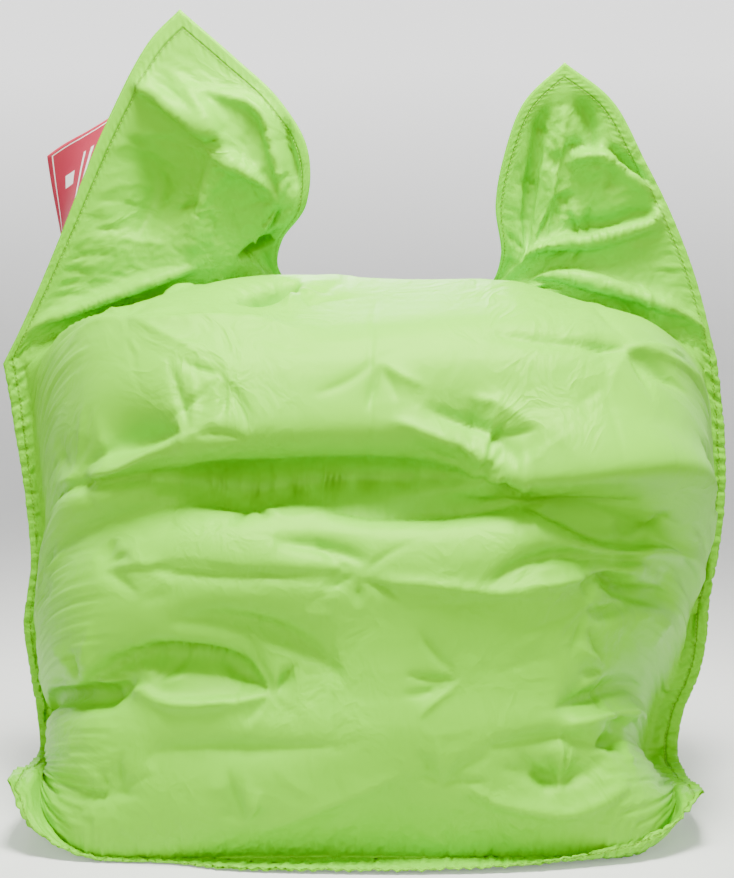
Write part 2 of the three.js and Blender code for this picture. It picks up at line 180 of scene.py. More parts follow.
paper, shade, shader = new_material("paper", Roughness=0.9, Emission_Strength=1.35)
place = shade.node("ShaderNodeTexCoord", output=3)
grain = noise(shade, place, 40)
rise = (place.part(2) * 0.8).math("MINIMUM", 1.0)  # the walls glow, and the floor only faintly
finish_material(shade, shader, Emission_Color=rise.blend((0.15, 0.15, 0.15, 1), (1, 1, 1, 1)),
                Base_Color=grain.blend((0.60, 0.60, 0.595, 1), (0.63, 0.63, 0.625, 1)))
ROOM_REACH, ROOM_STEPS = 13, 41
across, back = np.meshgrid(*[np.linspace(-ROOM_REACH, ROOM_REACH, ROOM_STEPS)] * 2)
floor = new_piece("floor", cove(across, back), grid_faces(ROOM_STEPS, ROOM_STEPS), paper)


def lamp(name, place, aim, size, power, colour, spread=180):
    """A flat lamp turned towards its aim, with its power in watts and its spread in degrees."""
    light = bpy.data.lights.new(name, "AREA")
    light.shape = "RECTANGLE"
    light.size, light.size_y = size
    light.spread = radians(spread)
    light.energy, light.color = power, colour
    made = bpy.data.objects.new(name, light)
    made.location = place
    made.rotation_euler = (Vector(aim) - Vector(place)).to_track_quat("-Z", "Y").to_euler()
    bpy.context.scene.collection.objects.link(made)


MIDDLE = (0, 0, 0.6)
lamp("sky_panel", (0.1, -0.8, 3.1), MIDDLE, (1.1, 0.9), 48, (1, 1, 0.94), 60)
lamp("right_panel", (2.8, -1.6, 1.6), MIDDLE, (1.0, 1.4), 1.5, (1, 1, 0.96), 60)
lamp("front_panel_light", (-0.8, -4.4, 2.6), MIDDLE, (1.6, 1.4), 7, (1, 1, 0.96), 60)
lamp("back_panel_light", (-0.6, 3.6, 2.6), MIDDLE, (1.8, 1.4), 18, (1, 1, 0.96), 60)
world = bpy.data.worlds.new("room")
world.use_nodes = True
world.node_tree.nodes["Background"].inputs["Color"].default_value = (1, 1, 1, 1)
world.node_tree.nodes["Background"].inputs["Strength"].default_value = 0.1
bpy.context.scene.world = world

# ---------------------------------------------------------------- the cover's cloth
# Two rectangles of coated polyester, 1.4 by 1.8 m, sewn together all round and stood on the lower
# hem. Their shape at rest is worked out here for both: where the filling holds them, then how the
# cloth settles on that, and last the full height of the folds and creases, laid on it.
FLAT = (1.4, 1.8)
ORIGIN = np.array([-0.005464, 0.018311, 0.0])
FILLED = 0.93  # the beads reach this share of the half width
LIP = 0.05 / 0.65  # and begin above this share of the body's height
GULLY_SIDE, GULLY_MIDDLE = 0.65, 0.77  # the filling ends at this share of the cloth's length
FLOOR = 0.0026  # the cloth goes no lower than this

left_seam = [(-546, -226, 112), (-549, -150, 104), (-541, -50, 84), (-538, 40, 88), (-544, 66, 130),
             (-552, 46, 220), (-556, 32, 304), (-544, 38, 392), (-552, 56, 492), (-567, 62, 612),
             (-583, 62, 722)]
left_ear = [(-583, 62, 722), (-531, 52, 828), (-487, 42, 925), (-398, 32, 1130), (-337, 30, 1238),
            (-289, 30, 1286)]
right_seam = [(520, -214, 92), (530, -130, 70), (524, -20, 56), (522, 70, 76), (532, 92, 130),
              (556, 80, 206), (574, 86, 304), (590, 98, 424), (594, 100, 542), (586, 100, 650),
              (574, 94, 726)]
right_ear = [(574, 94, 726), (536, 82, 857), (496, 72, 955), (446, 62, 1051), (391, 52, 1145),
             (317, 48, 1203)]
bottom_hem = [(-546, -226, 112), (-512, -246, 50), (-420, -262, 10), (-310, -276, 5),
              (-210, -312, 6), (-60, -326, 8), (120, -328, 10), (280, -312, 18), (400, -276, 34),
              (480, -244, 58), (520, -214, 92)]
# The top hem's points are a sixteenth of its length apart.
top_hem = [(-289, 30, 1286), (-205, 12, 1212), (-134, -8, 1146), (-90, -18, 1070), (-92, -5, 985),
           (-132, 50, 925), (-140, 120, 870), (-100, 190, 820), (-25, 228, 778), (60, 230, 766),
           (140, 204, 790), (200, 154, 832), (222, 104, 895), (212, 84, 978), (225, 66, 1062),
           (255, 52, 1143), (317, 48, 1203)]
front_profile = [(0, -262, 3), (0, -276, 30), (0, -296, 85), (0, -308, 150), (0, -311, 215),
                 (0, -304, 275), (0, -306, 330), (0, -311, 390), (0, -313, 430), (0, -309, 480),
                 (0, -292, 514), (0, -258, 540), (0, -240, 556), (0, -247, 576), (0, -268, 612),
                 (0, -281, 664),
                 (0, -264, 715), (0, -238, 770), (0, -190, 815), (0, -120, 846), (0, -50, 862),
                 (0, 15, 860), (0, 70, 836)]
back_profile = [(0, -262, 3), (0, -120, -6), (0, 60, -6), (0, 200, 0), (0, 258, 46), (0, 284, 120),
                (0, 288, 180), (0, 288, 240), (0, 288, 300), (0, 288, 360), (0, 284, 440),
                (0, 264, 550), (0, 226, 660), (0, 166, 762), (0, 70, 836)]
lip_profile = [(0, -318, 3), (0, -262, 3)]

# Folds: depth into the bag, reach above and reach below, in mm, and the line on the flat cloth, in
# mm from its lower left corner. A depth below 0 stands out as a ridge.
folds = [
    (60, 60, 10, [(346, 728), (459, 750), (569, 768), (755, 775), (846, 783), (900, 800)]),
    (-28, 18, 26, [(87, 795), (146, 772), (219, 769), (281, 799), (354, 840)]),
    (-48, 50, 44, [(850, 812), (980, 800), (1150, 790), (1330, 780)]),
    (36, 45, 10, [(50, 784), (150, 757), (240, 742), (400, 734), (520, 755)]),
    (42, 34, 24, [(190, 802), (259, 821), (335, 840)]),
    (30, 14, 26, [(605, 754), (674, 742), (813, 742), (977, 720)]),
    (34, 34, 20, [(977, 716), (1057, 690), (1137, 656), (1221, 638)]),
    (15, 10, 12, [(1028, 724), (1112, 724), (1174, 731)]),
    (23, 26, 20, [(525, 668), (612, 664), (704, 634)]),
    (-23, 14, 20, [(729, 904), (835, 870), (959, 806)]),
    (23, 22, 12, [(784, 926), (886, 885), (959, 821)]),
    (-11, 8, 10, [(1159, 964), (1251, 953), (1340, 965)]),
    (-10, 7, 7, [(1159, 968), (1218, 968), (1283, 985)]),
    (13, 8, 14, [(908, 1046), (1032, 998), (1159, 960)]),
    (11, 8, 8, [(1159, 960), (1203, 922), (1260, 905)]),
    (-27, 12, 12, [(1050, 1500), (1137, 1410), (1240, 1309), (1390, 1219)]),
    (-30, 12, 10, [(30, 1225), (142, 1279), (219, 1350), (284, 1425)]),
    (-13, 10, 24, [(69, 1100), (233, 1024), (299, 1028), (419, 1076), (485, 1095), (565, 1076)]),
    (60, 14, 10, [(452, 1147), (507, 1189), (561, 1252)]),
    (11, 8, 12, [(201, 589), (390, 589), (540, 611), (682, 611)]),
    (25, 20, 26, [(339, 506), (430, 521), (525, 514), (605, 480), (664, 435)]),
    (49, 14, 30, [(164, 394), (259, 439), (397, 450), (467, 443), (529, 409)]),
    (-21, 9, 16, [(259, 394), (321, 375), (419, 386), (532, 409)]),
    (53, 9, 14, [(29, 420), (131, 383), (204, 379), (259, 398)]),
    (15, 16, 34, [(270, 274), (306, 293), (390, 307), (496, 319), (653, 330)]),
    (-11, 8, 16, [(693, 604), (824, 600), (944, 574), (1076, 540)]),
    (28, 16, 16, [(941, 593), (992, 611), (1050, 615), (1141, 608), (1236, 608)]),
    (-15, 10, 12, [(959, 574), (1072, 570), (1185, 585), (1247, 615)]),
    (-23, 12, 10, [(1061, 634), (1181, 615), (1338, 680)]),
    (38, 13, 13, [(1123, 562), (1156, 574), (1232, 551), (1302, 580)]),
    (19, 10, 10, [(1145, 521), (1181, 510), (1240, 536)]),
    (-23, 10, 14, [(1119, 334), (1225, 341), (1338, 390)]),
    (25, 24, 10, [(1097, 360), (1225, 379), (1316, 420)]),
    (34, 7, 7, [(1207, 296), (1240, 307), (1283, 315)]),
    (17, 12, 22, [(955, 315), (1039, 319), (1090, 319), (1210, 296)]),
    (-15, 14, 14, [(911, 278), (930, 244), (962, 225), (1039, 203), (1112, 191), (1178, 203),
                  (1251, 229)]),
    (17, 28, 18, [(981, 278), (1097, 244), (1225, 266)]),
    (15, 10, 12, [(84, 214), (168, 203), (259, 217)]),
    (-10, 30, 20, [(496, 172), (623, 221), (784, 278)]),
    (-30, 24, 8, [(4, 1661), (58, 1669), (160, 1673)]),
    (-25, 14, 18, [(73, 1714), (117, 1695), (160, 1673), (211, 1661), (321, 1718)]),
    (-19, 12, 12, [(95, 1721), (175, 1762), (237, 1740), (314, 1725)]),
    (-19, 30, 26, [(164, 1669), (204, 1560), (255, 1455)]),
    (30, 50, 40, [(51, 1586), (113, 1530), (142, 1421)]),
    (15, 7, 7, [(204, 1789), (252, 1766), (317, 1770)]),
    (38, 9, 9, [(372, 1541), (423, 1639), (438, 1744)]),
    (27, 14, 14, [(1323, 1759), (1254, 1733), (1192, 1710), (1079, 1661)]),
    (-11, 14, 14, [(1345, 1736), (1280, 1684), (1207, 1635), (1141, 1575)]),
    (22, 15, 13, [(1364, 1733), (1345, 1676), (1323, 1631)]),
    (-27, 9, 16, [(1280, 1657), (1342, 1605), (1364, 1549), (1396, 1496)]),
    (25, 8, 7, [(1353, 1620), (1371, 1560), (1393, 1511)]),
    (-30, 9, 16, [(1065, 1650), (1207, 1489), (1345, 1451), (1396, 1485)]),
    (23, 16, 8, [(1178, 1549), (1283, 1478), (1367, 1470)]),
]
back_folds = [
    (24, 30, 20, [(120, 900), (420, 870), (760, 880), (1120, 905), (1300, 930)]),
    (-10, 20, 20, [(200, 960), (560, 940), (900, 960)]),
    (14, 24, 16, [(60, 650), (260, 660), (480, 700)]),
    (14, 24, 16, [(1340, 640), (1150, 665), (950, 700)]),
    (12, 16, 16, [(40, 780), (230, 800), (400, 780)]),
    (12, 16, 16, [(1360, 800), (1180, 790), (1010, 810)]),
    (16, 14, 14, [(330, 1500), (520, 1350), (700, 1290), (880, 1350), (1050, 1480)]),
]


def smooth_line(points, at, by_length=True):
    """A rounded line through points in mm: cubic pieces that lean, at a point, as the line through
    its two neighbours does. at runs from 0 to 1 over its length, or from point to point."""
    p = np.asarray(points, float) / 1000
    knot = np.concatenate([[0], np.cumsum(np.sqrt(np.linalg.norm(np.diff(p, axis=0), axis=1)))])
    slope = np.gradient(p, knot, axis=0)

    def value(t):
        i = np.clip(np.searchsorted(knot, t, side="right") - 1, 0, len(p) - 2)
        h = (knot[i + 1] - knot[i])[..., None]
        f = (t - knot[i])[..., None] / h
        return ((2 * f**3 - 3 * f**2 + 1) * p[i] + (f**3 - 2 * f**2 + f) * h * slope[i]
                + (3 * f**2 - 2 * f**3) * p[i + 1] + (f**3 - f**2) * h * slope[i + 1])

    at = np.asarray(at, float)
    if not by_length:
        return value(np.interp(at * (len(p) - 1), np.arange(len(p)), knot))
    dense = np.linspace(0, knot[-1], 1500)
    steps = np.linalg.norm(np.diff(value(dense), axis=0), axis=1)
    run = np.concatenate([[0], np.cumsum(steps)])
    return value(np.interp(at * run[-1], run, dense))


def smoothstep(x, low, high):
    """0 up to low, 1 from high, and an S curve between."""
    t = np.clip((x - low) / (high - low), 0, 1)
    return t * t * (3 - 2 * t)


def mix(a, b, t):
    return a + (b - a) * t


def gully(u):
    """Share of the cloth's length where the filling ends: further up in the middle."""
    return mix(GULLY_MIDDLE, GULLY_SIDE, smoothstep(abs(u), 0.15, 1))


def crown(u, flat):
    """1 over the flat middle, then a quarter ellipse down to 0 where the filling ends."""
    t = np.clip((abs(u) - flat) / (FILLED - flat), 0, 1)
    return np.sqrt(1 - t * t)


def body_surface(side, u, v):
    """The filled body: from seam to middle profile by the crown; below, the flat lip of the hem.
    u runs from -1 to 1 across, v from 0 to 1 up to the gully."""
    t = np.clip((v - LIP) / (1 - LIP), 0, 1)
    in_lip = np.clip(v / LIP, 0, 1)[..., None]
    profile = smooth_line(front_profile if side == "front" else back_profile, t)
    middle = np.where(in_lip < 1, smooth_line(lip_profile, in_lip[..., 0]), profile)
    seam = mix(smooth_line(left_seam, v), smooth_line(right_seam, v), ((u + 1) / 2)[..., None])
    roundness = np.sin(np.pi * t) if side == "front" else 0 * t
    height = mix(crown(u, 0.7), crown(u, 0.36), roundness)
    low_crown = 1 - np.clip((abs(u) - 0.25) / 0.75, 0, 1) ** 2
    height = mix(height, low_crown, smoothstep(t, 0.78, 1))[..., None]
    # The sides bulge out past the seams, or stand in from them, by height above the floor.
    heights = (0, 0.1, 0.25, 0.45, 0.6, 0.8)
    bulge = np.where(u < 0, -np.interp(middle[..., 2], heights, (0, 0.006, 0.02, 0.02, 0.018, 0.008)),
                     np.interp(middle[..., 2], heights, (0, 0.0, -0.035, -0.008, 0.018, 0.012)))
    bulge = bulge * smoothstep(abs(u), 0.5, 0.82) * (1 - smoothstep(abs(u), 0.93, 1.0))
    point = np.concatenate([seam[..., :1] + bulge[..., None],
                            mix(seam[..., 1:], middle[..., 1:], height)], -1)
    return mix(smooth_line(bottom_hem, (u + 1) / 2), point, in_lip)


def top_surface(u, t):
    """The empty top: straight from the gully to the top hem, each ear bent out to its own seam, and
    a hump where the flap passes the shoulder. t runs from 0 to 1 up to the hem."""
    one = np.ones_like(u)
    f, share = ((u + 1) / 2)[..., None], t[..., None]

    def straight(a):
        return mix(body_surface("back", a, one), smooth_line(top_hem, (a + 1) / 2, False), share)

    point = straight(u) + (smooth_line(left_ear, t) - straight(-one)) * (1 - f) ** 3
    point = point + (smooth_line(right_ear, t) - straight(one)) * f**3
    hump = 6.75 * share * (1 - share) ** 2 * np.exp(-((u[..., None] / 0.3) ** 2))
    return point + hump * np.array([0, 0.03, 0.012])


def held_surface(side, u, v):
    """Where the filling and the floor hold a panel, v running up the whole panel. On the back, the
    rows bend so that one of them runs level along the zip."""
    g = gully(u)
    share = v / g
    if side == "back":
        near_zip = np.clip(1 - abs(v - ZIP_AT) / 0.16, 0, 1) * (1 - smoothstep(abs(u), 0.72, 0.95))
        share = share + near_zip * (ZIP_SHARE - ZIP_AT / g)
    body = body_surface(side, u, np.clip(share, 0, 1))
    top = top_surface(u, np.clip((v - g) / (1 - g), 0, 1))
    point = np.where((v < g)[..., None], body, top) + ORIGIN
    point[..., 2] = np.maximum(point[..., 2], FLOOR)
    return point


def outward(p, side):
    """Unit normals of a grid of points, out of the bag."""
    normal = np.cross(np.gradient(p, axis=1), np.gradient(p, axis=0))
    if side == "back":
        normal = -normal
    return normal / np.maximum(np.linalg.norm(normal, axis=-1, keepdims=True), 1e-9)


def blurred(field, times):
    """Each value moved towards the mean of its four neighbours, this many times."""
    for _ in range(times):
        wide = np.pad(field, ((1, 1), (1, 1)) + ((0, 0),) * (field.ndim - 2), "edge")
        mean = (wide[2:, 1:-1] + wide[:-2, 1:-1] + wide[1:-1, 2:] + wide[1:-1, :-2]) / 4
        field = mix(field, mean, 0.7)
    return field


LINE_STEPS = 48  # points along each fold's line


def fold_relief(x, y, lines):
    """Sum of the folds' heights, in metres. Across a fold the height falls off as e to the power of
    minus distance over reach, and along it, as half a sine wave to the power of 0.6."""
    total = np.zeros(x.shape)
    for depth, above, below, points in lines:
        line = smooth_line([(a, b, 0) for a, b in points], np.linspace(0, 1, LINE_STEPS))[:, :2]
        reach = max(above, below) / 1000 * 4
        low, high = line.min(0) - reach, line.max(0) + reach
        near = (x > low[0]) & (x < high[0]) & (y > low[1]) & (y < high[1])
        away = np.stack([x[near], y[near]], -1)[:, None] - line
        distance = np.linalg.norm(away, axis=-1)
        nearest = distance.argmin(1)
        way = np.gradient(line, axis=0)[nearest]
        offset = away[np.arange(len(nearest)), nearest]
        is_above = np.sign(way[:, 0]) * (way[:, 0] * offset[:, 1] - way[:, 1] * offset[:, 0]) > 0
        width = np.where(is_above, above, below) / 1000
        taper = np.sin(np.pi * np.clip((nearest + 1) / (LINE_STEPS + 1), 0, 1)) ** 0.6
        total[near] -= depth / 1000 * taper * np.exp(-distance.min(1) / width)
    return total


ROWS, COLUMNS = 321, 257
ZIP_ROW = 117  # the back is cut along this row
ZIP_AT = ZIP_ROW / (ROWS - 1)
ZIP_HEIGHT = 0.27
shares = np.linspace(0.35, 0.7, 400)  # of the back's profile, on both sides of the zip
ZIP_SHARE = mix(LIP, 1, np.interp(ZIP_HEIGHT, smooth_line(back_profile, shares)[:, 2], shares))
u, v = np.meshgrid(np.linspace(-1, 1, COLUMNS), np.linspace(0, 1, ROWS))
flat_x, flat_y = (u + 1) / 2 * FLAT[0], v * FLAT[1]
to_edge = np.minimum(np.minimum(flat_x, FLAT[0] - flat_x), np.minimum(flat_y, FLAT[1] - flat_y))
is_top = smoothstep(v - gully(u), 0.0, 0.03)
# Where both panels lie flat together.
together = ((abs(u) >= FILLED) | (v <= 0.05) | (v >= gully(u) + 0.015))[..., None]
base, relief = {}, {}
for side, lines in (("front", folds), ("back", back_folds)):
    base[side] = held_surface(side, u, v)
    relief[side] = fold_relief(flat_x, flat_y, lines) * smoothstep(to_edge, 0.0, 0.03)
# Between the folds the beads leave long, low hollows.
hollows = 0.006 * (np.sin(11 * flat_y + 1.5 * np.sin(4 * flat_x) + 1) * np.sin(5 * flat_x + 2)
                   + 0.6 * np.sin(19 * flat_y - 6 * flat_x + np.sin(7 * flat_x)))
for side in relief:
    relief[side] = relief[side] + hollows * smoothstep(to_edge, 0.03, 0.15)
zip_flat = smoothstep(abs(v - ZIP_AT), 0.03, 0.07)
relief["back"] = relief["back"] * np.maximum(zip_flat, smoothstep(abs(u), 0.68, 0.8))
relief["back"] = np.where(together[..., 0], relief["front"], relief["back"])
out = {side: outward(blurred(base[side], 8), side) for side in base}


def held_at(side, level):
    """The place that the filling holds the cloth to, at one fineness: coarse ones leave the folds
    out, and fine ones take only a share of their height."""
    share = {8: 0, 4: 0, 2: 0.25, 1: 0.3}[level]
    height = blurred(relief[side], 2) * share
    way = out[side] if side == "front" else np.where(together, out["front"], out["back"])
    return (base[side] + way * height[..., None])[::level, ::level]


# The cloth may be this much longer than the place it is held to: a little more in the empty top, and
# much more down the sides and near the floor.
slack = 1.03 + 0.15 * smoothstep(abs(u), 0.6, 0.97) * (1 - is_top) + 0.03 * is_top
slack = slack + 0.12 * smoothstep(0.12 - v, 0, 0.1)

# The tapes keep the cloth flat beside the zip.
zip_hold = (0.9 * (1 - smoothstep(abs(v - ZIP_AT), 0.02, 0.04))
            * (1 - smoothstep(abs(u), 0.66, 0.74)))[..., None]


def pull_pairs(p, rest, stiffness, a, b):
    """Moves the two ends of each thread so that its length comes nearer to its rest length."""
    way = p[b] - p[a]
    length = np.sqrt(np.einsum("...i,...i->...", way, way))
    step = way * (0.5 * stiffness * (1 - rest / np.maximum(length, 1e-6)))[..., None]
    p[a] += step
    p[b] -= step


def threads(rows, columns):
    """Pairs of slices, in sets whose threads share no point: threads across, threads along, and the
    two diagonals, which hold the weave square."""
    sets = []
    for start in (0, 1):
        for dr, dc in ((0, 1), (1, 0), (1, 1), (1, -1)):
            if dr == 0:
                count = (columns - 1 - start + 1) // 2
                a = (slice(None), slice(start, start + 2 * count - 1, 2))
                b = (slice(None), slice(start + 1, start + 2 * count, 2))
            else:
                count = (rows - 1 - start + 1) // 2
                ra = slice(start, start + 2 * count - 1, 2)
                rb = slice(start + 1, start + 2 * count, 2)
                if dc == 0:
                    a, b = (ra, slice(None)), (rb, slice(None))
                elif dc == 1:
                    a, b = (ra, slice(0, -1)), (rb, slice(1, None))
                else:
                    a, b = (ra, slice(1, None)), (rb, slice(0, -1))
            sets.append(("weave" if abs(dr) + abs(dc) == 1 else "bias", a, b))
    return sets


def settle(shape, level, turns, hold, smooth):
    """Lets both panels settle at one fineness: threads draw towards the length they were cut to, as
    far as the slack allows, the filling holds the cloth near its place, and panels that lie together
    stay together."""
    target = {side: held_at(side, level) for side in shape}
    joined = together[::level, ::level]
    loose = slack[::level, ::level]
    rows, columns = loose.shape
    sets = threads(rows, columns)
    flat = np.stack([flat_x, flat_y], -1)[::level, ::level]
    rests = {}
    for side in shape:
        rests[side] = []
        for _, a, b in sets:
            made = np.linalg.norm(flat[b] - flat[a], axis=-1)
            have = np.linalg.norm(target[side][b] - target[side][a], axis=-1)
            rests[side].append(np.clip(made, have, have * (loose[a] + loose[b]) / 2))
    for _ in range(turns):
        for side, p in shape.items():
            for (kind, a, b), rest in zip(sets, rests[side]):
                pull_pairs(p, rest, 0.9 if kind == "weave" else 0.2, a, b)
            p += (target[side] - p) * (hold if side == "front" else zip_hold[::level, ::level] + hold)
            p[1:-1, 1:-1] += smooth * (blurred(p, 1) - p)[1:-1, 1:-1]
            p[..., 2] = np.maximum(p[..., 2], FLOOR)
        mean = (shape["front"] + shape["back"]) / 2
        for p in shape.values():
            p[:] = np.where(joined, mean, p)


def finer(p):
    """Twice as many steps each way: new points on the cubic through the four nearest."""
    for axis in (0, 1):
        p = np.moveaxis(p, axis, 0)
        wide = np.concatenate([2 * p[:1] - p[1:2], p, 2 * p[-1:] - p[-2:-1]])
        between = (9 * (wide[1:-2] + wide[2:-1]) - wide[:-3] - wide[3:]) / 16
        made = np.empty((2 * len(p) - 1, *p.shape[1:]))
        made[::2], made[1::2] = p, between
        p = np.moveaxis(made, 0, axis)
    return p


# The cloth starts with a faint ripple, so that it knows which way to fold.
ripple = 0.004 * (np.sin(37 * flat_y + 5 * np.sin(3 * flat_x)) + np.sin(23 * flat_x + 61 * flat_y)
                  + np.sin(71 * flat_x - 29 * flat_y + 2))
cloth = {side: held_at(side, 8) + (out[side] * ripple[..., None])[::8, ::8] for side in base}
plan = [(8, 60, 0.02, 0.1), (4, 80, 0.015, 0.08), (2, 80, 0.02, 0.07), (1, 40, 0.05, 0.07)]
for level, turns, hold, smooth in plan:
    settle(cloth, level, turns, hold, smooth)
    if level > 1:
        # The finer shape takes over how far the coarse one moved from its place.
        moved = {side: finer(cloth[side] - held_at(side, level)) for side in cloth}
        cloth = {side: held_at(side, level // 2) + moved[side] for side in cloth}


def creases(x, y, lines):
    """Sum of sharp creases' heights, in metres: across each, e to the power of minus distance over
    reach, and along each, half a sine wave. Each row of lines is x, y, way, half length, reach,
    depth, with way in radians."""
    total = np.zeros(x.shape)
    for cx, cy, way, half, reach, depth in lines:
        near = (abs(x - cx) < half + 4 * reach) & (abs(y - cy) < half + 4 * reach)
        dx, dy = x[near] - cx, y[near] - cy
        along = (dx * np.cos(way) + dy * np.sin(way)) / half
        across = -dx * np.sin(way) + dy * np.cos(way) + 0.12 * half * (along**2 - 0.3) * np.sign(depth)
        swell = np.cos(np.pi / 2 * np.clip(along, -1, 1))
        total[near] -= depth * swell * np.exp(-abs(across) / (reach * (0.35 + 0.65 * swell)))
    return total


# Small creases that start at the pinches of the bigger folds and run out from them. Each pinch is its
# place on the flat cloth in mm, the range of ways it sends creases in degrees, their number, and
# their length in mm.
pinches = [
    (233, 1024, -60, 200, 7, 150), (1159, 965, 120, 330, 6, 140), (682, 611, 150, 400, 5, 110),
    (201, 589, -40, 60, 4, 130), (1145, 521, 90, 250, 6, 130), (1000, 860, 150, 260, 4, 150),
    (700, 1000, 200, 340, 4, 130), (420, 950, 180, 300, 4, 140), (900, 430, 140, 220, 4, 120),
    (354, 840, 20, 120, 4, 120),
    (485, 760, 200, 330, 4, 110), (886, 810, -40, 160, 9, 130), (977, 720, -60, 140, 10, 130),
    (1221, 638, 100, 280, 8, 100), (530, 409, 30, 240, 9, 120), (300, 400, 20, 200, 7, 90),
    (160, 400, -30, 150, 8, 100), (1230, 420, 90, 270, 8, 110), (1283, 315, 90, 250, 7, 90),
    (1100, 230, 20, 170, 9, 110), (860, 260, 10, 150, 6, 90), (480, 190, 30, 170, 7, 110),
    (230, 205, 30, 160, 8, 90), (120, 780, -40, 100, 8, 100), (60, 620, -50, 60, 6, 80),
    (1340, 800, 120, 250, 7, 90), (1310, 560, 120, 250, 7, 90), (120, 1150, -60, 60, 7, 120),
    (300, 1180, 40, 140, 7, 150), (1250, 1180, 40, 140, 8, 150), (204, 1560, 200, 340, 9, 110),
    (321, 1718, 180, 350, 9, 110), (211, 1661, 150, 360, 8, 90), (423, 1639, 190, 350, 6, 80),
    (1207, 1635, 180, 360, 8, 100), (1280, 1684, 150, 330, 8, 90), (1207, 1489, 40, 220, 8, 110),
    (1342, 1605, 150, 300, 7, 80), (560, 1230, 200, 340, 6, 90), (1040, 1420, 200, 330, 6, 90),
]
dice = np.random.default_rng(11)
small = []
for px, py, low, high, count, length in pinches:
    ways = np.radians(np.linspace(low, high, count, endpoint=high - low < 360)
                      + dice.uniform(-12, 12, count))
    halves = length / 2000 * dice.uniform(0.45, 1.15, count)
    reaches = dice.uniform(0.006, 0.012, count)
    depths = dice.uniform(0.003, 0.010, count) * dice.choice([1, 1, -0.8], count)
    small += [(px / 1000 + 1.05 * half * np.cos(way), py / 1000 + 1.05 * half * np.sin(way), way, half,
               reach, depth) for way, half, reach, depth in zip(ways, halves, reaches, depths)]
# Scattered creases all over, mostly across the bag, as the beads' weight draws the cloth down.
SCATTERED, GATHERS = 150, 230
small += list(zip(dice.uniform(0.05, 1.35, SCATTERED), dice.uniform(0.05, 1.75, SCATTERED),
                  dice.normal(0, 0.5, SCATTERED), dice.uniform(0.02, 0.08, SCATTERED),
                  dice.uniform(0.005, 0.012, SCATTERED), dice.uniform(-0.003, 0.004, SCATTERED)))
# Fine gathers that the seams' thread draws in, about square to each edge.
places = dice.uniform(0.03, 0.97, GATHERS)
for at, side_of, half, depth in zip(places, dice.integers(0, 4, GATHERS),
                                    dice.uniform(0.015, 0.06, GATHERS),
                                    dice.uniform(0.0008, 0.003, GATHERS)):
    x, y = ((0.03 + half, at * 1.8), (1.37 - half, at * 1.8), (at * 1.4, 0.03 + half),
            (at * 1.4, 1.77 - half))[side_of]
    small.append((x, y, (0, 0, np.pi / 2, np.pi / 2)[side_of] + dice.normal(0, 0.2), half, 0.006,
                  1.5 * depth))
# Creases from being folded up in its carton: a cross of straight lines.
packing = [(0.693, 0.94, np.pi / 2, 0.30, 0.005, 0.003), (0.655, 0.45, np.pi / 2, 0.3, 0.005, 0.003),
           (0.25, 1.03, np.pi / 2, 0.16, 0.005, 0.003), (1.12, 0.9, np.pi / 2, 0.2, 0.005, 0.002),
           (0.45, 0.6, 0.02, 0.24, 0.005, 0.003), (0.95, 0.55, -0.1, 0.2, 0.005, 0.003)]
fine = creases(flat_x, flat_y, small + packing) * smoothstep(to_edge, 0.015, 0.04)
fine = fine * smoothstep(v, 0.035, 0.07)
sharp = 1.3 * fine + mix(0.9, 1.25, is_top) * relief["front"] * smoothstep(v, 0.02, 0.05)
fine_back = fine[:, ::-1] * np.maximum(zip_flat, smoothstep(abs(u), 0.7, 0.8))
sharp_back = np.where(together[..., 0], sharp, 0.7 * relief["back"] + fine_back)

CLOTH, GAP = 0.001, 0.0002  # a panel's thickness, and half the space between panels that lie together
for side, height in (("front", sharp), ("back", sharp_back)):
    way = outward(blurred(cloth[side], 3), side)
    rise = np.where(together[..., 0] & (side == "back"), -height, height)
    cloth[side] = cloth[side] + way * (rise + CLOTH + GAP)[..., None]
    cloth[side][..., 2] = np.maximum(cloth[side][..., 2], FLOOR)

# ---------------------------------------------------------------- the cover's panels
# Coated polyester with a fine plain weave and a satin face, creased by packing. The front is one
# piece; the back is cut at the zip. All are sewn together at the hem.
cover_cloth, shade, shader = new_material(
    "cover_cloth", Specular_IOR_Level=0.35, Specular_Tint=(0.7, 1.0, 0.25, 1))
flat_place = shade.node("ShaderNodeUVMap", {"uv_map": "flat"})
mottle = noise(shade, flat_place, 6.0, 3.0)
colour = mottle.blend((0.128, 0.455, 0.001, 1), (0.152, 0.5, 0.002, 1))
across, along = flat_place.part(0), flat_place.part(1)
weave = (across * 9000).math("SINE") * (along * 9000).math("SINE")
# Sharp little creases where a noise crosses its middle value, in patches.
crumple = noise(shade, flat_place, 13.0, 3.0, 0.5, 0.6) - 0.5
crumple = crumple.math("ABSOLUTE") * -1.0
patches = noise(shade, flat_place, 3.5, 1.0) * 2.0 - 0.6
surface = bumped(shade, crumple * patches.math("MAXIMUM", 0.0), 0.035, 0.5)
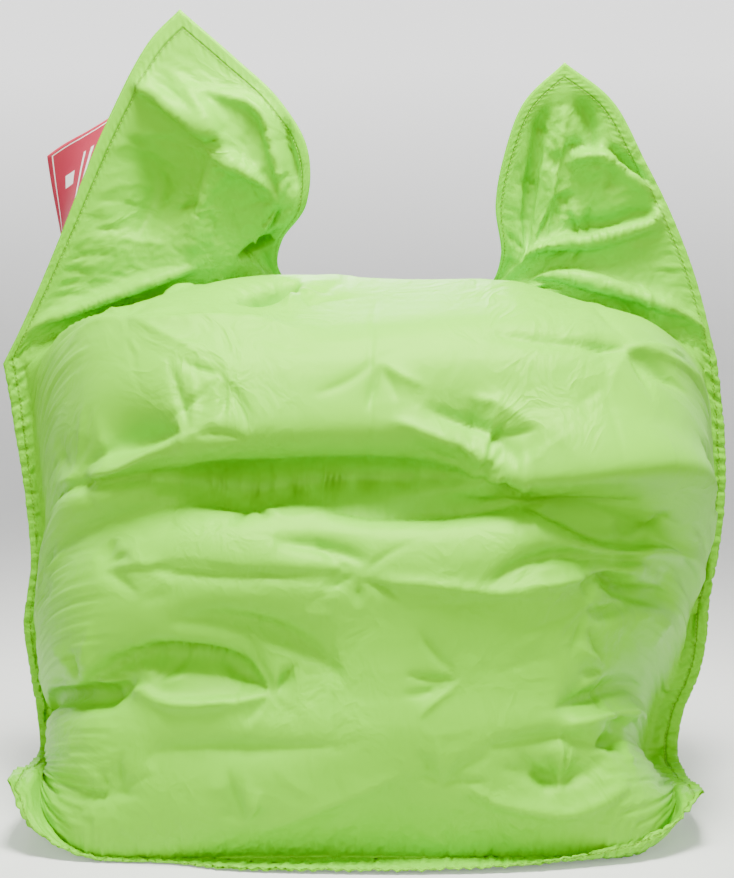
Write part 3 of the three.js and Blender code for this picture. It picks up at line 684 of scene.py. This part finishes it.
# The hem: two layers more within 22 mm of the edge, drawn in along its row of stitches, where painted
# shade also darkens the cloth along the row's groove.
from_edge = across.math("MINIMUM", FLAT[0] - across).math(
    "MINIMUM", along.math("MINIMUM", FLAT[1] - along))
off_row = (from_edge - 0.0195).math("ABSOLUTE") / 0.003
row_groove_and_shade = off_row.math("MINIMUM", 1.0)
layers = ((0.0235 - from_edge) * 400.0).math("MAXIMUM", 0.0).math("MINIMUM", 1.0)
puckers = ((across + along) * 460.0).math("SINE") * (1 - (off_row / 4).math("MINIMUM", 1.0))
surface = bumped(shade, row_groove_and_shade + layers * 0.6 + puckers * 0.35, 0.0016, 0.9, surface)
surface = bumped(shade, weave, 0.00012, 0.3, surface)
# Painted shade: the cloth's colour goes dark along the groove of the hem's row of stitches.
colour = (row_groove_and_shade * 0.85 + 0.15).blend((0.05, 0.2, 0.002, 1), colour)
rough = noise(shade, flat_place, 14.0, 3.0) * 0.12 + 0.38
finish_material(shade, shader, Base_Color=colour, Roughness=rough, Normal=surface)


def cloth_piece(name, points, flats, material, thickness, flip):
    """A panel as a thin shell, with its flat cutting place as its UV map."""
    rows, columns = points.shape[:2]
    piece = new_piece(name, points, grid_faces(rows, columns, flip), material)
    mesh = piece.data
    corner = np.empty(len(mesh.loops), int)
    mesh.loops.foreach_get("vertex_index", corner)
    layer = mesh.uv_layers.new(name="flat")
    layer.data.foreach_set("uv", flats.reshape(-1, 2)[corner].ravel())
    shell = piece.modifiers.new("thickness", "SOLIDIFY")
    shell.thickness, shell.offset, shell.use_rim_only = thickness, -1, thickness == CLOTH
    return piece


flats = np.stack([flat_x, flat_y], -1)
front = cloth_piece("cover_front", cloth["front"], flats, cover_cloth, CLOTH, False)
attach(front, "bag")
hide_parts("front_panel")


def on_cloth(field, x, y):
    """A field of the panel's grid at flat places, from the four points round each."""
    c = np.clip(x / FLAT[0] * (COLUMNS - 1), 0, COLUMNS - 1.001)
    r = np.clip(y / FLAT[1] * (ROWS - 1), 0, ROWS - 1.001)
    i, j = r.astype(int), c.astype(int)
    a, b = (r - i)[..., None], (c - j)[..., None]
    return mix(mix(field[i, j], field[i, j + 1], b), mix(field[i + 1, j], field[i + 1, j + 1], b), a)


def cut_at_zip(way):
    """The back on one side of the zip, way -1 below and 1 above. In the slot the last four rows move
    back, the edge by one row and the others by less, so that the edge leaves the zip free."""
    rows = np.arange(0, ZIP_ROW + 1) if way < 0 else np.arange(ZIP_ROW, ROWS)
    from_zip = abs(rows - ZIP_ROW)[:, None]
    in_slot = 1 - smoothstep(abs(u[0]), 0.61, 0.63)
    drawn = np.clip(1 - 0.3 * from_zip, 0, 1) * np.maximum(in_slot, 0.03) * way
    x = np.broadcast_to(flat_x[0], (len(rows), COLUMNS))
    y = (rows[:, None] + drawn) / (ROWS - 1) * FLAT[1]
    return on_cloth(cloth["back"], x, y), np.stack([x, y], -1)


lower = cloth_piece("cover_back_lower", *cut_at_zip(-1), cover_cloth, CLOTH, True)
upper = cloth_piece("cover_back_upper", *cut_at_zip(1), cover_cloth, CLOTH, True)
for piece, node, length in ((lower, "back_panel_lower", 0.66), (upper, "back_panel_upper", 1.14)):
    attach(piece, "bag")
    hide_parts(node)

# ---------------------------------------------------------------- the hem's topstitching
# Polyester thread, one lockstitch after another, 20 mm in from the edge right round the cover, and
# seen on both of its faces.
thread, shade, shader = new_material("thread", Specular_IOR_Level=0.3, Roughness=0.62)
place = shade.node("ShaderNodeTexCoord", output=3)
twist = place.node("ShaderNodeTexWave", {"bands_direction": "DIAGONAL"},
                   {"Vector": place, "Scale": 900.0, "Distortion": 1.5})
finish_material(shade, shader, Normal=bumped(shade, twist, 0.0002, 0.6),
                Base_Color=noise(shade, place, 60).blend((0.19, 0.46, 0.01, 1), (0.3, 0.6, 0.03, 1)))


def stitches(name, line, up, pitch, half, thick, material):
    """Stitches along a line: each a rod of three rings and two ends, highest in its middle and
    sunk into the cloth at its ends. line and up are arrays of places and of normals."""
    run = np.concatenate([[0], np.cumsum(np.linalg.norm(np.diff(line, axis=0), axis=1))])
    at = np.arange(pitch / 2, run[-1], pitch)
    middle = np.stack([np.interp(at, run, line[:, k]) for k in range(3)], 1)
    ahead = np.stack([np.interp(at + 0.001, run, line[:, k]) for k in range(3)], 1) - np.stack(
        [np.interp(at - 0.001, run, line[:, k]) for k in range(3)], 1)
    normal = np.stack([np.interp(at, run, up[:, k]) for k in range(3)], 1)
    ahead /= np.maximum(np.linalg.norm(ahead, axis=1, keepdims=True), 1e-9)
    aside = np.cross(ahead, normal)
    aside /= np.maximum(np.linalg.norm(aside, axis=1, keepdims=True), 1e-9)
    normal = np.cross(aside, ahead)
    sides = np.linspace(0, 2 * np.pi, 6, endpoint=False)
    rings = []
    for along, wide, high in ((-0.75, 0.7, 0.1), (0, 1, 0.45), (0.75, 0.7, 0.1)):
        centre = middle + ahead * along * half + normal * high * thick
        for turn in sides:
            round_it = aside * np.cos(turn) + normal * np.sin(turn)
            rings.append(centre + round_it * wide * thick / 2)
    ends = [middle + ahead * way * half - normal * 0.3 * thick for way in (-1, 1)]
    points = np.stack(rings + ends, 1)
    k = np.arange(6)
    n = (k + 1) % 6
    walls = np.concatenate([np.stack([k + 6 * r, n + 6 * r, n + 6 * r + 6, k + 6 * r + 6], 1)
                            for r in (0, 1)])
    caps = np.concatenate([np.stack([n, k, 0 * k + 18], 1), np.stack([k + 12, n + 12, 0 * k + 19], 1)])
    first = (np.arange(len(at)) * 20)[:, None, None]
    faces = [(walls + first).reshape(-1, 4), (caps + first).reshape(-1, 3)]
    return new_piece(name, points, faces, material)


def hem_loop(inset, step=0.004):
    """Flat places round the hem, this far in from its edge."""
    w, h = FLAT[0] - inset, FLAT[1] - inset
    across, along = np.arange(inset, w, step), np.arange(inset, h, step)
    x = np.concatenate([across, 0 * along + w, across[::-1], 0 * along + inset, [inset]])
    y = np.concatenate([0 * across + inset, along, 0 * across + h, along[::-1], [inset]])
    return x, y


HEM = 0.02
normals = {side: outward(cloth[side], side) for side in cloth}
hem_x, hem_y = hem_loop(HEM)
for side in cloth:
    hem = stitches(f"hem_stitches_{side}", on_cloth(cloth[side], hem_x, hem_y),
                   on_cloth(normals[side], hem_x, hem_y), pitch=0.0062, half=0.0024, thick=0.001,
                   material=thread)
    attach(hem, "bag")
    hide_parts(f"hem_thread_{side}")

# ---------------------------------------------------------------- the side label
# A red woven satin strip, folded in two and caught in the left ear's seam. A plain frame and bars
# stand for its print.
red_weave, shade, shader = new_material("red_weave", Specular_IOR_Level=0.3, Sheen_Weight=0.15)
place = shade.node("ShaderNodeUVMap", {"uv_map": "flat"})
ribs = (place.part(1) * 5200).math("SINE") * 0.5 + 0.5


def within(value, low, high):
    """1 between the two limits and 0 outside them."""
    return value.math("GREATER_THAN", low) * value.math("LESS_THAN", high)


across, along = place.part(0), place.part(1)
frame_line = 1 - within(across, 0.006, 0.0945) * within(along, 0.005, 0.177)
inner_line = within(across, 0.0075, 0.093) * within(along, 0.0065, 0.1755)
bars = (within(across, 0.02, 0.026) * within(along, 0.03, 0.15)
        + within(across, 0.036, 0.040) * within(along, 0.03, 0.15)
        + within(across, 0.055, 0.075) * within(along, 0.11, 0.13))
white = bars + (1 - inner_line) - frame_line
red = ribs.blend((0.33, 0.012, 0.035, 1), (0.47, 0.022, 0.06, 1))
finish_material(shade, shader, Roughness=ribs * 0.15 + 0.5, Normal=bumped(shade, ribs, 0.0002, 0.5),
                Base_Color=white.math("MINIMUM", 1.0).blend(red, (0.85, 0.83, 0.8, 1)))
SEWN_FROM, SEWN_TO = 0.7655, 0.893  # shares of the panel's length, where the strip is sewn in
SEWN_IN = 0.006
outer_low, outer_high = np.array([-0.5, 0.152, 0.884]), np.array([-0.5115, 0.08, 1.058])
f, t = np.meshgrid(np.linspace(0, 1, 25), np.linspace(0, 1, 49))
sewn = on_cloth((cloth["front"] + cloth["back"]) / 2, 0 * t + SEWN_IN,
                mix(SEWN_FROM, SEWN_TO, t) * FLAT[1])
outer = mix(outer_low, outer_high, t[..., None])
bow = 0.009 * np.sin(np.pi * f) + 0.004 * np.sin(2.3 * np.pi * f + 3 * t) * f
face = mix(sewn, outer, f[..., None])
face_normal = outward(face, "front")
face = face + face_normal * bow[..., None]
# The strip goes out, turns at its outer edge and comes back a little behind itself.
gap = (0.0006 + 0.00132 * np.sin(np.pi * f))[..., None]
folded = np.concatenate([face + face_normal * gap, (face - face_normal * gap)[:, ::-1]], 1)
label_uv = np.stack([f * 0.1005, t * 0.182], -1)
label = cloth_piece("side_label_strip", folded, np.concatenate([label_uv, label_uv[:, ::-1]], 1),
                    red_weave, thickness=0.0005, flip=True)
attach(label, "bag")
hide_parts("side_label")

# ---------------------------------------------------------------- the zip's tapes
# Woven polyester tape with a rib along it, one above and one below the teeth, topstitched to the
# cover's turned edges.
tape_weave, shade, shader = new_material("tape_weave", Specular_IOR_Level=0.25, Sheen_Weight=0.1)
place = shade.node("ShaderNodeUVMap", {"uv_map": "flat"})
twill = ((place.part(0) + place.part(1)) * 4200).math("SINE") * 0.5 + 0.5
finish_material(shade, shader, Roughness=twill * 0.15 + 0.65, Normal=bumped(shade, twill, 0.0003, 0.7),
                Base_Color=twill.blend((0.11, 0.3, 0.012, 1), (0.17, 0.41, 0.02, 1)))
for half in ("upper", "lower"):
    low, high = (np.array(corner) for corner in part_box(f"zip_tape_{half}"))
    x, z = np.meshgrid(np.linspace(low[0], high[0], 400), np.linspace(low[2], high[2], 25))
    from_teeth = abs(z - ZIP_HEIGHT)
    rib = 0.0002 * np.sin(from_teeth * 1900) + 0.00015 * np.sin(x * 60)
    tape = cloth_piece(f"zip_tape_{half}_cloth", np.stack([x, high[1] - 0.0004 + rib, z], -1),
                       np.stack([x, z], -1), tape_weave, thickness=0.0005, flip=True)
    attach(tape, "bag")
    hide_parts(f"zip_tape_{half}")

# The rows of stitches that hold the tapes, about 3.5 mm off the slot's edges.
slot_x = np.linspace(FLAT[0] * 0.19, FLAT[0] * 0.81, 300)
for way, half in ((1, "upper"), (-1, "lower")):
    slot_y = 0 * slot_x + (ZIP_ROW + way * 1.62) / (ROWS - 1) * FLAT[1]
    row = stitches(f"zip_stitches_{half}", on_cloth(cloth["back"], slot_x, slot_y),
                   on_cloth(normals["back"], slot_x, slot_y), pitch=0.0042, half=0.0017,
                   thick=0.0008, material=thread)
    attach(row, "bag")

# ---------------------------------------------------------------- the zip's teeth
# Two coils of nylon wire, their turns caught in each other while the zip is closed.
nylon, shade, shader = new_material("nylon", Specular_IOR_Level=0.5, Coat_Weight=0.1)
place = shade.node("ShaderNodeTexCoord", output=3)
finish_material(shade, shader, Roughness=noise(shade, place, 300) * 0.2 + 0.3,
                Base_Color=noise(shade, place, 25).blend((0.14, 0.4, 0.012, 1), (0.2, 0.5, 0.02, 1)))
WIRE, PITCH = 0.00034, 0.0016  # the wire's radius, and the width of one turn
CAUGHT = 0.0006  # half of how far a coil's turns reach out of its box, towards the other coil
TURN_STEPS, WIRE_SIDES = 9, 5
for half, way, ahead in (("upper", 1, 0.0), ("lower", -1, 0.5)):
    low, high = (np.array(corner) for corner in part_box(f"zip_coil_{half}"))
    turns = np.arange(0, int((high[0] - low[0]) / PITCH) * TURN_STEPS + 1) / TURN_STEPS
    angle = turns * 2 * np.pi
    reach_z = (high[2] - low[2]) / 2 + CAUGHT - WIRE
    centre_z = (low[2] + high[2]) / 2 - way * CAUGHT
    reach_y = (high[1] - low[1]) / 2 - WIRE
    line = np.stack([low[0] + (turns + ahead) * PITCH, (low[1] + high[1]) / 2 + reach_y * np.sin(angle),
                     centre_z + reach_z * np.cos(angle)], 1)
    tangent = np.gradient(line, axis=0)
    tangent /= np.linalg.norm(tangent, axis=1, keepdims=True)
    side_way = np.cross(tangent, (1, 0, 0))
    side_way /= np.linalg.norm(side_way, axis=1, keepdims=True)
    up_way = np.cross(side_way, tangent)
    around = np.linspace(0, 2 * np.pi, WIRE_SIDES, endpoint=False) + 0.3
    tube = (line[:, None] + WIRE * (np.cos(around)[:, None] * side_way[:, None]
                                    + np.sin(around)[:, None] * up_way[:, None]))
    ring = np.arange(WIRE_SIDES)
    following = (ring + 1) % WIRE_SIDES
    first = (np.arange(len(line) - 1) * WIRE_SIDES)[:, None]
    last = first + WIRE_SIDES
    walls = np.stack([ring + first, ring + last, following + last, following + first], -1)
    caps = np.stack([ring, ring[::-1] + last[-1]])
    coil = new_piece(f"zip_coil_{half}_wire", tube, [walls.reshape(-1, 4), caps], nylon)
    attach(coil, "bag")
    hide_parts(f"zip_coil_{half}")

# ---------------------------------------------------------------- the zip's metal parts
# Die-cast zinc with a satin plating, worn brighter on the edges that fingers rub: the slider, its
# pull and the two end stops.
zinc, shade, shader = new_material("zinc", Metallic=1.0)
place = shade.node("ShaderNodeTexCoord", output=3)
drawn_out = place.node("ShaderNodeMapping", None, {"Vector": place, "Scale": (200, 1500, 1500)})
scratches = noise(shade, drawn_out, 3.0, 4.0)
worn = shade.node("ShaderNodeNewGeometry", output=7)
wear = worn.node("ShaderNodeValToRGB", {"stops": [(0.48, (0, 0, 0)), (0.6, (1, 1, 1))]}, {0: worn})
finish_material(shade, shader, Roughness=scratches * 0.25 + 0.2,
                Normal=bumped(shade, scratches, 0.00005, 0.4),
                Base_Color=wear.blend((0.42, 0.43, 0.44, 1), (0.72, 0.72, 0.72, 1)))


def rounded_copy(node, name, body, material, width):
    """A piece from a copy of a CAD node's mesh, its loose triangles joined and its edges rounded."""
    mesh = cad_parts[node].data.copy()
    shell = bmesh.new()
    shell.from_mesh(mesh)
    bmesh.ops.remove_doubles(shell, verts=shell.verts, dist=1e-6)
    bmesh.ops.dissolve_limit(shell, angle_limit=radians(1), verts=shell.verts, edges=shell.edges)
    shell.to_mesh(mesh)
    shell.free()
    mesh.materials.clear()
    mesh.materials.append(material)
    piece = bpy.data.objects.new(name, mesh)
    bpy.context.scene.collection.objects.link(piece)
    edge = piece.modifiers.new("rounding", "BEVEL")
    edge.width, edge.segments, edge.limit_method = width, 2, "ANGLE"
    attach(piece, body)
    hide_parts(node)


for node, name, body, width in (("zip_slider", "slider_body", "slider", 0.00025),
                                ("zip_pull", "pull_tab", "pull", 0.00022),
                                ("zip_stop_left", "stop_left", "bag", 0.0004),
                                ("zip_stop_right", "stop_right", "bag", 0.0004)):
    rounded_copy(node, name, body, zinc, width)

# ---------------------------------------------------------------- the bar tacks
# Close thread stitches over the coils' ends, where the zip is sewn shut.
for end in ("left", "right"):
    low, high = (np.array(corner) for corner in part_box(f"zip_tack_{end}"))
    xs = np.linspace(low[0] + 0.0004, high[0] - 0.0004, 7)
    steps = np.linspace(low[2], high[2], 30)
    zigzag = np.concatenate([np.stack([0 * steps + x, 0 * steps + high[1] + 0.0001, steps[::way]], 1)
                             for x, way in zip(xs, (1, -1) * 4)])
    tack = stitches(f"tack_{end}", zigzag, np.tile((0.0, 1.0, 0.0), (len(zigzag), 1)),
                    pitch=0.0018, half=0.0011, thick=0.0007, material=thread)
    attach(tack, "bag")
    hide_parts(f"zip_tack_{end}")

# ---------------------------------------------------------------- the care label
# A small white woven tape that hangs from the zip's lower edge, with plain grey bars for its print.
white_weave, shade, shader = new_material("white_weave", Specular_IOR_Level=0.3)
place = shade.node("ShaderNodeUVMap", {"uv_map": "flat"})
across, along = place.part(0), place.part(1)
ribs = (along * 6000).math("SINE") * 0.5 + 0.5
lines = (within((along * 140).math("FRACT"), 0.0, 0.3) * within(across, 0.005, 0.029)
         * within(along, 0.006, 0.03))
squares = (within((across * 160).math("FRACT"), 0.2, 0.75) * within(across, 0.006, 0.03)
           * within(along, 0.036, 0.04))
paper_white = ribs.blend((0.74, 0.73, 0.7, 1), (0.83, 0.82, 0.79, 1))
finish_material(shade, shader, Roughness=ribs * 0.1 + 0.7, Normal=bumped(shade, ribs, 0.0002, 0.5),
                Base_Color=(lines + squares).blend(paper_white, (0.2, 0.2, 0.21, 1)))
low, high = (np.array(corner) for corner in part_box("care_label"))
x, z = np.meshgrid(np.linspace(low[0], high[0], 25), np.linspace(low[2], high[2], 41))
hang = (high[2] - z) / (high[2] - low[2])
SEWN_Y = 0.3082
care_y = mix(SEWN_Y, high[1], smoothstep(hang, 0, 0.3)) + 0.0015 * hang**2 * (1 + np.sin(x * 130))
care = cloth_piece("care_label_tape", np.stack([x, care_y, z], -1),
                   np.stack([x - low[0], z - low[2]], -1), white_weave, thickness=0.0003, flip=True)
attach(care, "bag")
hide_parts("care_label")

# ---------------------------------------------------------------- the liner and the beads
# Inside the cover: a liner of thin non-woven cloth, two panels and a seam that closes it, filled
# with expanded polystyrene beads.
liner_cloth, shade, shader = new_material("liner_cloth", Roughness=0.85)
place = shade.node("ShaderNodeTexCoord", output=3)
fibres = noise(shade, place, 220, 6.0, 0.7)
finish_material(shade, shader, Normal=bumped(shade, fibres, 0.0005, 0.6),
                Base_Color=fibres.blend((0.74, 0.72, 0.68, 1), (0.85, 0.83, 0.79, 1)))
bead_white, shade, shader = new_material("bead_white", Roughness=0.6)
place = shade.node("ShaderNodeTexCoord", output=3)
cells = shade.node("ShaderNodeTexVoronoi", None, {"Vector": place, "Scale": 220.0})
# Painted shade: each bead's white goes darker towards its edge, where it meets the next bead.
finish_material(shade, shader, Normal=bumped(shade, 1 - cells, 0.002, 1.0),
                Base_Color=cells.blend((0.93, 0.93, 0.92, 1), (0.78, 0.78, 0.77, 1)))
INNER = 97  # points each way over a liner panel
inner_u, inner_s = np.meshgrid(np.linspace(-0.86, 0.86, INNER), np.linspace(0.12, 0.92, INNER))
inner_x, inner_y = (inner_u + 1) / 2 * FLAT[0], inner_s * gully(inner_u) * FLAT[1]


def drawn_in(side, depth):
    """A panel's filled part, this far inside the deepest of the cover's folds near each place."""
    fold = np.einsum("...i,...i->...", base[side] - cloth[side], out[side])
    for _ in range(6):
        wide = np.pad(fold, 1, "edge")
        fold = np.max([wide[1:-1, 1:-1], wide[2:, 1:-1], wide[:-2, 1:-1], wide[1:-1, 2:],
                       wide[1:-1, :-2]], 0)
    inside = base[side] - out[side] * (np.maximum(blurred(fold, 10), 0) + depth)[..., None]
    return on_cloth(inside, inner_x, inner_y)


for side in cloth:
    liner = cloth_piece(f"liner_{side}_cloth", drawn_in(side, 0.010), np.stack([inner_x, inner_y], -1),
                        liner_cloth, thickness=0.0006, flip=side == "back")
    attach(liner, "bag")
    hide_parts(f"liner_{side}_panel")
seam_line = drawn_in("front", 0.0095)[-3, 6:-6]
closing = stitches("liner_closing_seam", seam_line, 0 * seam_line + (0, 0, 1.0), pitch=0.008,
                   half=0.003, thick=0.0012, material=liner_cloth)
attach(closing, "bag")
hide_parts("liner_thread")

# The beads as one closed form: front and back share their edge, midway between them.
fill = {side: drawn_in(side, 0.018) for side in cloth}
edge_mask = np.zeros((INNER, INNER), bool)
edge_mask[[0, -1], :] = edge_mask[:, [0, -1]] = True
number = {"front": np.arange(INNER * INNER).reshape(INNER, INNER)}
number["back"] = np.where(edge_mask, number["front"], 0)
number["back"][~edge_mask] = INNER * INNER + np.arange((~edge_mask).sum())
fill["front"][edge_mask] = (fill["front"][edge_mask] + fill["back"][edge_mask]) / 2
points = np.concatenate([fill["front"].reshape(-1, 3), fill["back"][~edge_mask]])
faces = [number["front"].ravel()[grid_faces(INNER, INNER)],
         number["back"].ravel()[grid_faces(INNER, INNER, True)]]
beads = new_piece("beads", points, faces, bead_white)
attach(beads, "bag")
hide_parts("bead_fill")
